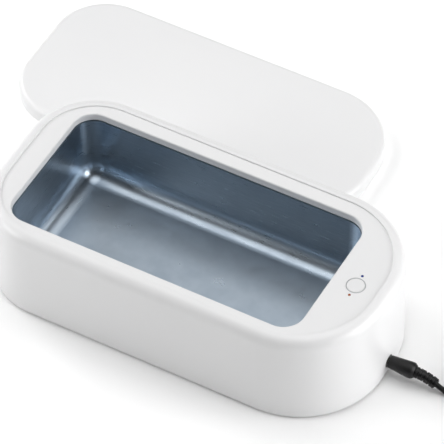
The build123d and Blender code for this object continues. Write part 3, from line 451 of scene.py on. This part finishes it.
relief.data.materials.append(blackPvc)
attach(relief, "power_lead")
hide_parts("plug_relief")
print("strain relief ribbed")

# coil ties: a soft strap closed round the turns at two places, with rounded corners
coilCentre = (0.19095, -0.03445)
tieLook = dict(width=0.005, span=0.0131, height=0.0103, thickness=0.0006, corner=0.0018, cornerSteps=6,
               softEdge=0.00015, softEdgeSteps=2, bevelAbove=40.0, smoothBelow=35.0,
               middleRadius=0.0154, middleHeight=0.00515, angles=[135.0, 315.0])
bpy.ops.object.select_all(action="DESELECT")
bpy.ops.mesh.primitive_cube_add(size=1)
strap = bpy.context.object
strap.dimensions = (tieLook["span"], tieLook["width"], tieLook["height"])
bpy.ops.object.transform_apply(location=False, rotation=False, scale=True)
bpy.ops.object.mode_set(mode="EDIT")
bpy.ops.mesh.select_mode(type="FACE")
bpy.ops.mesh.select_all(action="DESELECT")
bpy.ops.object.mode_set(mode="OBJECT")
for face in strap.data.polygons:
    face.select = abs(face.normal.y) > squareOn
bpy.ops.object.mode_set(mode="EDIT")
bpy.ops.mesh.delete(type="FACE")
bpy.ops.mesh.select_mode(type="EDGE")
bpy.ops.mesh.select_all(action="DESELECT")
bpy.ops.object.mode_set(mode="OBJECT")
for edge in strap.data.edges:      # the four corners
    ends = [strap.data.vertices[i].co for i in edge.vertices]
    edge.select = abs(ends[0].y - ends[1].y) > tieLook["width"] / 2
bpy.ops.object.mode_set(mode="EDIT")
bpy.ops.mesh.bevel(offset=tieLook["corner"], segments=tieLook["cornerSteps"], affect="EDGES")
bpy.ops.object.mode_set(mode="OBJECT")
wall = strap.modifiers.new("wall", "SOLIDIFY")
wall.thickness = tieLook["thickness"]
wall.offset = -1
softEdge = strap.modifiers.new("softEdge", "BEVEL")
softEdge.width = tieLook["softEdge"]
softEdge.segments = tieLook["softEdgeSteps"]
softEdge.limit_method = "ANGLE"
softEdge.angle_limit = math.radians(tieLook["bevelAbove"])
bpy.ops.object.modifier_apply(modifier="wall")
bpy.ops.object.modifier_apply(modifier="softEdge")
straps = []
for degrees in tieLook["angles"]:
    angle = math.radians(degrees)
    band = strap.copy()
    band.data = strap.data.copy()
    bpy.context.scene.collection.objects.link(band)
    band.location = (coilCentre[0] + tieLook["middleRadius"] * math.cos(angle),
                     coilCentre[1] + tieLook["middleRadius"] * math.sin(angle), tieLook["middleHeight"])
    band.rotation_euler = (0, 0, angle)
    straps.append(band)
bpy.data.objects.remove(strap)
bpy.ops.object.select_all(action="DESELECT")
for band in straps:
    band.select_set(True)
coilTies = straps[0]
coilTies.name = "coilTies"
bpy.context.view_layer.objects.active = coilTies
bpy.ops.object.join()
bpy.ops.object.transform_apply(location=True, rotation=True, scale=True)
bpy.ops.object.shade_smooth_by_angle(angle=math.radians(tieLook["smoothBelow"]))
coilTies.data.materials.clear()
coilTies.data.materials.append(blackNylon)
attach(coilTies, "power_lead")
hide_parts("coil_ties")
print("coil tied")

# power cable: from the plug to the floor, into a tied coil, and on to the adapter
leadLook = dict(diameter=0.0028, length=1.05, pointsPerTurn=16, firstAngle=-105.0,
                moveAngle=45.0, cornerLead=67.5, angleSlack=0.001, steps=4, roundness=4)
columns = [0.0112, 0.0140, 0.0168, 0.0196]      # radii of the coil's turns
rows = [0.00235, 0.00515, 0.00795]              # their heights
# the cell of each turn, column then row: in along the bottom, up the inside, and out again
winding = [(3, 0), (2, 0), (1, 0), (0, 0), (0, 1), (0, 2), (1, 2), (1, 1), (2, 1), (2, 2), (3, 2), (3, 1)]
leadIn = [(0.160009, -0.05045, 0.00493), (0.16385, -0.05045, 0.00272), (0.16875, -0.05075, 0.00145),
          (0.17625, -0.05145, 0.0014)]
leadOut = [(0.2107, -0.0290, 0.0053), (0.2106, -0.0235, 0.0036), (0.2096, -0.0175, 0.0013),
           (0.2086, -0.0110, 0.0026), (0.20845, -0.0068, 0.0042), (0.20845, -0.00295, 0.0042)]


def coilPoints():
    # each turn stays in its cell and moves to the next one near the end of its round; where
    # the winding changes direction it moves earlier, so that the turns don't cut corners
    moves = []
    angle = leadLook["firstAngle"]
    for i in range(len(winding) - 1):
        before, cell, after = winding[max(i - 1, 0)], winding[i], winding[i + 1]
        straight = i == 0 or all(after[k] - cell[k] == cell[k] - before[k] for k in (0, 1))
        angle += 360 if straight else 360 - leadLook["cornerLead"]
        moves.append(angle)
    lastAngle = math.ceil(moves[-1] / 360) * 360
    step = 360 / leadLook["pointsPerTurn"]
    spread = 1 / math.cos(math.radians(step / 2))       # the spline runs inside its control points
    points = []
    angle = leadLook["firstAngle"]
    while angle <= lastAngle + leadLook["angleSlack"]:
        done = sum(min(1, max(0, (angle - end + leadLook["moveAngle"]) / leadLook["moveAngle"]))
                   for end in moves)
        cell = min(int(done), len(winding) - 2)
        part = done - cell
        radius = columns[winding[cell][0]] * (1 - part) + columns[winding[cell + 1][0]] * part
        height = rows[winding[cell][1]] * (1 - part) + rows[winding[cell + 1][1]] * part
        turn = math.radians(angle)
        points.append((coilCentre[0] + radius * spread * math.cos(turn),
                       coilCentre[1] + radius * spread * math.sin(turn), height))
        angle += step
    return points


cablePoints = leadIn + coilPoints() + leadOut
cableCurve = bpy.data.curves.new("powerCable", "CURVE")
cableCurve.dimensions = "3D"
cableSpline = cableCurve.splines.new("NURBS")
cableSpline.points.add(len(cablePoints) - 1)
for point, place in zip(cableSpline.points, cablePoints):
    point.co = (*place, 1.0)
cableSpline.order_u = 3
cableSpline.use_endpoint_u = True
cableSpline.resolution_u = leadLook["steps"]
cableCurve.bevel_depth = leadLook["diameter"] / 2
cableCurve.bevel_resolution = leadLook["roundness"]
cableCurve.use_fill_caps = True
powerCable = bpy.data.objects.new("powerCable", cableCurve)
bpy.context.scene.collection.objects.link(powerCable)
powerCable.data.materials.append(blackPvc)
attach(powerCable, "power_lead")
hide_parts("lead_cable", "lead_coil", "lead_tail")
print("cable laid")

# floor and light
studioLook = dict(floorColour="#fcfcfc", floorRoughness=0.9, floorSide=12, toothScale=700.0,
                  toothDepth=0.0001, toothStrength=0.05, worldColour="#ffffff", worldStrength=0.02,
                  ceilingStrength=1.0, ceilingSpread=53.0, ceilingHeight=1.6)
softboxes = {        # power in watts, side in metres, and place
    "behind": dict(power=6.0, size=1.5, place=(0.0, 0.85, 1.35)),
    "rightLow": dict(power=13.2, size=0.9, place=(1.1, 0.15, 0.35)),
    "leftNear": dict(power=2.9, size=0.4, place=(-0.6, -0.55, 0.4)),
    "leftHigh": dict(power=11.4, size=0.8, place=(-1.3, 0.2, 0.8)),
}
bpy.ops.object.select_all(action="DESELECT")
bpy.ops.mesh.primitive_plane_add(size=studioLook["floorSide"], location=(0, 0, 0))
floor = bpy.context.object
floor.name = "studioFloor"
# matt paper sweep: white, with a barely visible tooth
paper, paperTree, paperShader, paperPlace = startMaterial(
    "whitePaper", dict(colour=studioLook["floorColour"], roughness=studioLook["floorRoughness"]))
tooth = addNode(paperTree, "ShaderNodeTexNoise", values={"Scale": studioLook["toothScale"]},
                links={"Vector": paperPlace})
toothBump = addNode(paperTree, "ShaderNodeBump",
                    values={"Strength": studioLook["toothStrength"],
                            "Distance": studioLook["toothDepth"]},
                    links={"Height": tooth.outputs["Fac"]})
paperTree.links.new(toothBump.outputs["Normal"], paperShader.inputs["Normal"])
floor.data.materials.append(paper)

world = bpy.data.worlds.new("studio")
world.use_nodes = True
world.node_tree.nodes["Background"].inputs["Color"].default_value = linear(studioLook["worldColour"])
world.node_tree.nodes["Background"].inputs["Strength"].default_value = studioLook["worldStrength"]
bpy.context.scene.world = world

for name, box in softboxes.items():
    lamp = bpy.data.objects.new(name + "Light", bpy.data.lights.new(name + "Light", "AREA"))
    bpy.context.scene.collection.objects.link(lamp)
    lamp.data.energy = box["power"]
    lamp.data.size = box["size"]
    lamp.location = box["place"]
    lamp.rotation_euler = (-Vector(box["place"])).to_track_quat("-Z", "Y").to_euler()
# one wide, even ceiling light, so that the floor stays pale far from the object
ceiling = bpy.data.objects.new("ceilingLight", bpy.data.lights.new("ceilingLight", "SUN"))
bpy.context.scene.collection.objects.link(ceiling)
ceiling.data.energy = studioLook["ceilingStrength"]
ceiling.data.angle = math.radians(studioLook["ceilingSpread"])
ceiling.location = (0, 0, studioLook["ceilingHeight"])
bpy.context.scene.view_settings.view_transform = "Standard"
print("studio set")
